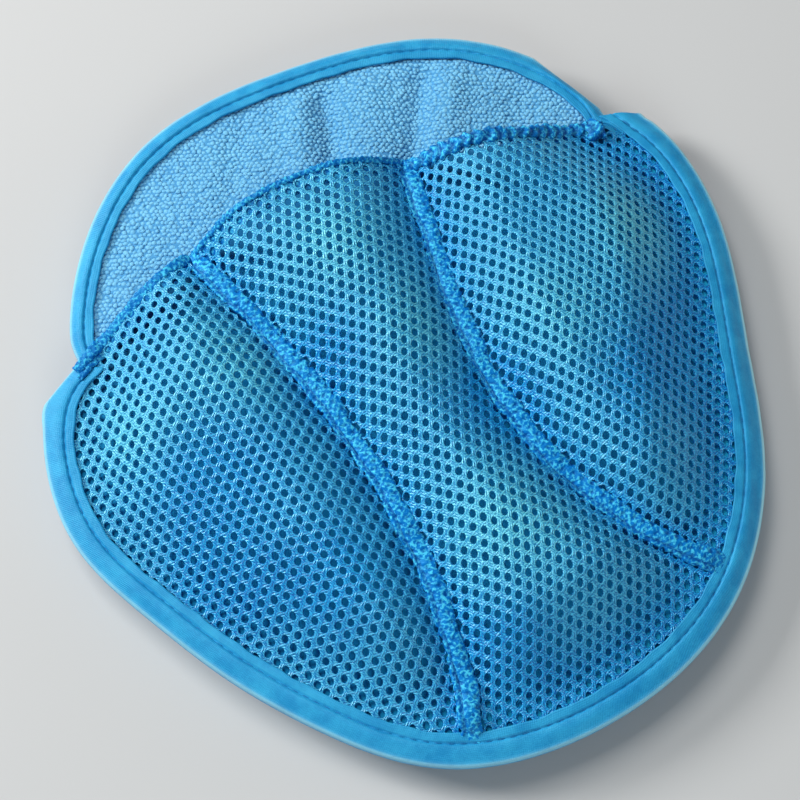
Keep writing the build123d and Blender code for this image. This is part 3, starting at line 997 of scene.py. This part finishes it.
def edge_stitches(which):
    """The thread that closes one length of tape, seen from above and from below."""
    angles, radii = tape_lines(which)
    theta = np.arange(angles[0] + 0.5, (TAPE_CORNER + 2 if which == "lower" else angles[-1] - 0.5), 0.2)
    x, y = polar(np.interp(theta, angles, radii) - STITCH_INSET[which], theta)
    top = joined(x, y, back_top(x, y) + TAPE_SEAT[which] - 0.36)
    under = joined(x, y, face_bottom(x, y) - TAPE_BELOW + 0.26)
    pairs = zip(stitches_along(top, (0, 0, 1)), stitches_along(under, (0, 0, -1)))
    rows = (np.concatenate(pair) for pair in pairs)
    return stitch_row(f"edge_thread_{which}", *rows, f"edge_stitching_{which}")


def divider_stitches(side):
    """The thread along the left side of a welt."""
    divider, tip, mouth = WELTS[side]
    y = np.arange(mouth - 4, tip + 5, -0.5)
    x = divider(y) - WELT_SEAM
    points = joined(x, y, back_top(x, y) + 2.25)
    row = stitches_along(points, (-0.2, 0, 0.98))
    return stitch_row(f"divider_thread_{side}", *row, f"divider_stitching_{side}")


# ---- terry, plush, foam

# Folds of the bare back: place across the rows of loops, lean, half width, height.
FOLDS = (
    (-34, 0.1, 3.0, -0.5), (-23, -0.1, 3.0, 0.8), (-17.6, -0.2, 2.6, -1.1), (-9, -0.1, 4.5, 0.9),
    (1, 0.1, 2.8, -1.1), (7, 0.1, 3.5, 0.8), (21, 0.15, 4.0, -0.5),
)


def clipped_grid(inside, step):
    """Flat points and quads of a square grid inside an area, and the border as ordered pairs."""
    ticks = np.arange(-FIELD, FIELD + step, step)
    x, y = np.meshgrid(ticks, ticks, indexing="ij")
    n = len(ticks)
    keep = inside(x, y)
    full = keep[:-1, :-1] & keep[1:, :-1] & keep[1:, 1:] & keep[:-1, 1:]
    i, j = np.nonzero(full)
    quads = joined(i * n + j, (i + 1) * n + j, (i + 1) * n + j + 1, i * n + j + 1)
    used, quads = np.unique(quads, return_inverse=True)
    quads = quads.reshape(-1, 4)
    edges = np.concatenate([quads[:, (k, (k + 1) % 4)] for k in range(4)])
    keys = edges[:, 0].astype(np.int64) * len(used) + edges[:, 1]
    back = edges[:, 1].astype(np.int64) * len(used) + edges[:, 0]
    border = edges[~np.isin(keys, back)]
    return x.ravel()[used], y.ravel()[used], quads, border


def closed_below(points, border, drop, hub_height):
    """Close a sheet underneath: a wall down from its border, and a fan to a point in the middle."""
    rim = np.unique(border)
    lower = np.full(len(points), -1)
    lower[rim] = len(points) + np.arange(len(rim))
    below = points[rim] - np.array((0.0, 0.0, drop))
    hub = len(points) + len(rim)
    a, b = border[:, 0], border[:, 1]
    wall = joined(b, a, lower[a], lower[b])
    fan = joined(lower[b], lower[a], np.full(len(a), hub))
    return np.concatenate((points, below, ((0.0, 0.0, hub_height),))), [wall, fan]


def tuft_set(x, y, z):
    """Small squashed blobs, one for each loop of the pile, and how high each point stands in its blob."""
    rng = np.random.default_rng(LOOP_SEED)
    base = np.array(((1, 0, 0), (0, 1, 0), (-1, 0, 0), (0, -1, 0), (0, 0, 1), (0, 0, -1)), dtype=float)
    tris = ((0, 1, 4), (1, 2, 4), (2, 3, 4), (3, 0, 4), (1, 0, 5), (2, 1, 5), (3, 2, 5), (0, 3, 5))
    points, faces, cache = list(base), [], {}

    def middle(a, b):
        key = (min(a, b), max(a, b))
        if key not in cache:
            v = points[a] + points[b]
            points.append(v / np.linalg.norm(v))
            cache[key] = len(points) - 1
        return cache[key]

    for a, b, c in tris:
        ab, bc, ca = middle(a, b), middle(b, c), middle(c, a)
        faces += [(a, ab, ca), (b, bc, ab), (c, ca, bc), (ab, bc, ca)]
    ball, faces = np.array(points), np.array(faces)
    count = len(x)
    turn = -CLOTH_TURN + 0.35 * rng.standard_normal(count)
    scale = np.array(LOOP_SIZE) * (1 + 0.12 * rng.standard_normal((count, 3)).clip(-2, 2))
    local = ball[None] * scale[:, None, :]
    c, s = np.cos(turn)[:, None], np.sin(turn)[:, None]
    px = local[..., 0] * c - local[..., 1] * s + x[:, None]
    py = local[..., 0] * s + local[..., 1] * c + y[:, None]
    pz = local[..., 2] + z[:, None]
    lift = (ball[None, :, 2] * (1 + 0.3 * rng.standard_normal((count, 1)))).ravel()
    points = joined(px, py, pz).reshape(-1, 3)
    return points, (faces[None] + (np.arange(count) * len(ball))[:, None, None]).reshape(-1, 3), lift


def folds(x, y):
    """Soft folds of the bare back: they run from the rim towards the mouths."""
    across = x * math.cos(CLOTH_TURN) - y * math.sin(CLOTH_TURN)
    ahead = x * math.sin(CLOTH_TURN) + y * math.cos(CLOTH_TURN)
    wave = sum(
        height * bell(across - place - lean * (ahead - 58), reach) for place, lean, reach, height in FOLDS
    )
    return wave * ease((ahead - 30) / 14) * ease((rim_distance(x, y) - 4) / 7)


def inside_terry(x, y):
    """Which places the terry covers."""
    return rim_distance(x, y) > TERRY_INSET


def terry_back():
    """The terry back: a sheet with its loops standing up beyond the mouths."""
    x, y, quads, border = clipped_grid(inside_terry, TERRY_STEP)
    rough = 0.14 * np.sin(5.3 * x + 1.1 * np.sin(2.9 * y)) * np.sin(5.7 * y + 1.3 * np.sin(2.3 * x))
    z = back_top(x, y) - 0.08 + folds(x, y) + 0.6 * rough
    depth = mouth_line(x) - y
    # painted shade under the netting: 0 outside the pockets, 0.5 for the darkest shade just inside a mouth,
    # rising deeper in and to painted light near the lower right rim
    inside = ease((depth + 1.2) / 1.6) * (0.5 + 0.3 * ease((depth - 3) / 9) + 0.2 * near_low_rim(x, y))
    points, underside = closed_below(joined(x, y, z), border, drop=1.3, hub_height=6.5)
    base_count = len(points)

    rows, places = np.meshgrid(np.arange(-88, 89) * LOOP_ROW, np.arange(-80, 81), indexing="ij")
    brick = 0.5 * (np.round(rows / LOOP_ROW).astype(int) % 2)
    over = (places + brick) * LOOP_PITCH
    ahead = np.array((math.sin(CLOTH_TURN), math.cos(CLOTH_TURN)))
    across = np.array((math.cos(CLOTH_TURN), -math.sin(CLOTH_TURN)))
    flat = rows.ravel()[:, None] * ahead + over.ravel()[:, None] * across
    tx, ty = (flat + 0.12 * RNG.standard_normal((rows.size, 2))).T
    front = mouth_line(tx)
    bare = (rim_distance(tx, ty) > TAPE_WIDTH["upper"] - 0.6) & (ty > front + 0.4)
    tx, ty = tx[bare], ty[bare]
    tz = back_top(tx, ty) - 0.12 + folds(tx, ty) + 0.05 * RNG.standard_normal(len(tx))
    tuft_points, tuft_faces, lift = tuft_set(tx, ty, tz)
    # painted shade at the foot of each loop and on the sheet between loops
    crown = np.concatenate((np.full(base_count, 0.1), np.clip(0.5 + 0.5 * lift, 0, 1)))
    # the painted shade and light of the pockets, on the sheet only
    pocket = np.concatenate((inside, np.ones(base_count - len(x)), np.zeros(len(tuft_points))))
    piece = build(
        "terry_cloth", np.concatenate((points, tuft_points)), [quads, *underside, tuft_faces + base_count],
        TERRY_MATERIAL, values={"crown": crown, "pocket": pocket},
    )
    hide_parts("terry_back")
    return piece


def polishing_face():
    """The plush working face, flat where it rests."""
    x, y, quads, border = clipped_grid(lambda x, y: rim_distance(x, y) > PLUSH_INSET, PLUSH_STEP)
    clumps = np.sin(x * 2.7 + 1.6 * np.sin(y * 0.9)) * np.sin(y * 2.5 + 1.4 * np.sin(x * 0.8))
    pile = 0.28 * clumps + 0.14 * RNG.standard_normal(len(x))
    z = np.maximum(face_bottom(x, y), 0.0) + 0.45 + np.clip(pile, -0.42, 0.5)
    z = np.where(rim_distance(x, y) < 6.5, np.maximum(z, face_bottom(x, y) + 0.3), z)
    points = joined(x, y, z)
    hub = len(points)
    points = np.concatenate((points, ((0.0, 0.0, 5.0),)))
    fan = joined(border[:, 0], border[:, 1], np.full(len(border), hub))
    piece = build("plush_face", points, [quads[:, ::-1], fan], PLUSH_MATERIAL)
    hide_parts("polishing_face")
    return piece


def cut_size(height, inside):
    """Width, length and area in metres of the flat cut that lies on a height field inside an area."""
    step = 1.0
    ticks = np.arange(-FIELD, FIELD, step)
    x, y = np.meshgrid(ticks, ticks, indexing="ij")
    slope_x, slope_y = slopes(height, x, y, step)
    cells = inside(x, y)
    width = (np.ptp(x[cells]) + step) * np.sqrt(1 + slope_x[cells] ** 2).mean()
    length = (np.ptp(y[cells]) + step) * np.sqrt(1 + slope_y[cells] ** 2).mean()
    area = np.sqrt(1 + slope_x[cells] ** 2 + slope_y[cells] ** 2).sum() * step**2
    return (float(width) * MM, float(length) * MM), float(area) * MM**2


def declare_sheet(piece, height, inside):
    """Work out the width, length and area of the flat cut of a sheet that lies on a height field inside an
    area.
    """
    flat, area = cut_size(height, inside)


# ---- camera, floor, light

VIEW_AIM = Vector((-0.0032, -0.0006, 0.008))
VIEW_DISTANCE = 0.330
VIEW_TILT = math.radians(16.0)
VIEW_TURN = math.radians(25.8)
VIEW_WIDTH = 0.152  # width of the picture at the aim point


def camera():
    """Nearly overhead, from the tip side of the pad."""
    ahead = Vector((math.sin(VIEW_TURN), math.cos(VIEW_TURN), 0))
    look = ahead * math.sin(VIEW_TILT) - Vector((0, 0, 1)) * math.cos(VIEW_TILT)
    up = ahead * math.cos(VIEW_TILT) + Vector((0, 0, 1)) * math.sin(VIEW_TILT)
    right = look.cross(up)
    data = bpy.data.cameras.new("camera")
    data.sensor_width = 36.0
    data.lens = 36.0 * VIEW_DISTANCE / VIEW_WIDTH
    data.clip_start = 0.01
    eye = add_object("camera", data)
    rotation = Matrix((right, up, -look)).transposed().to_4x4()
    eye.matrix_world = Matrix.Translation(VIEW_AIM - look * VIEW_DISTANCE) @ rotation
    bpy.context.scene.camera = eye


def floor():
    """A plain pale floor."""
    g = Graph("pale_floor")
    g.shader.inputs["Base Color"].default_value = (0.60, 0.60, 0.59, 1)
    g.shader.inputs["Roughness"].default_value = 0.8
    mesh = bpy.data.meshes.new("floor")
    mesh.from_pydata([(-3, -3, 0), (3, -3, 0), (3, 3, 0), (-3, 3, 0)], [], [(0, 1, 2, 3)])
    mesh.materials.append(g.material)
    add_object("floor", mesh)


def area_light(name, place, size, power, colour=(1, 1, 1)):
    """A soft square light that faces the pad."""
    data = bpy.data.lights.new(name, "AREA")
    data.shape = "SQUARE"
    data.size = size
    data.energy = power
    data.color = colour
    lamp = add_object(name, data)
    lamp.location = place
    lamp.rotation_euler = (Vector((0, 0, 0.005)) - Vector(place)).to_track_quat("-Z", "Y").to_euler()


def lights():
    """A soft window light above, a stronger one at the upper left, a rim light and a cool front light."""
    area_light("window", (-0.08, 0.48, 0.87), 0.40, 4.1)
    area_light("side", (-0.56, 0.58, 0.46), 0.30, 7.5)
    area_light("rim", (1.0, -0.35, 0.22), 0.35, 1.0)
    area_light("front", (-0.30, -0.65, 0.45), 0.40, 1.9, (0.80, 0.93, 1.0))
    world = bpy.data.worlds.new("studio")
    world.use_nodes = True
    background = world.node_tree.nodes["Background"].inputs
    background["Color"].default_value = (0.92, 0.95, 1.0, 1)
    background["Strength"].default_value = 0.15
    bpy.context.scene.world = world
    bpy.context.scene.view_settings.view_transform = "Standard"


# ---- making

NET_MATERIAL = net_material()
WELT_MATERIAL = band_material("folded_net")
TERRY_MATERIAL = terry_material()
PLUSH_MATERIAL = plush_material()
TAPE_MATERIAL = tape_material()
THREAD_MATERIAL = thread_material()

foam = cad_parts["foam_core"]
foam.data.materials.clear()
foam.data.materials.append(foam_material())

polishing_face()
declare_sheet(terry_back(), back_top, inside_terry)
for side in SIDES:
    panel = net(side)
    hem = [roped_hem(side)] if side == "right" else flat_hem(side)
    declare_sheet(panel, pocket_surface(side), inside_panel(side))
for side in ("left", "right"):
    welt(side)
    divider_stitches(side)
for which in ("upper", "lower"):
    tape(which)
    edge_stitches(which)

camera()
floor()
lights()
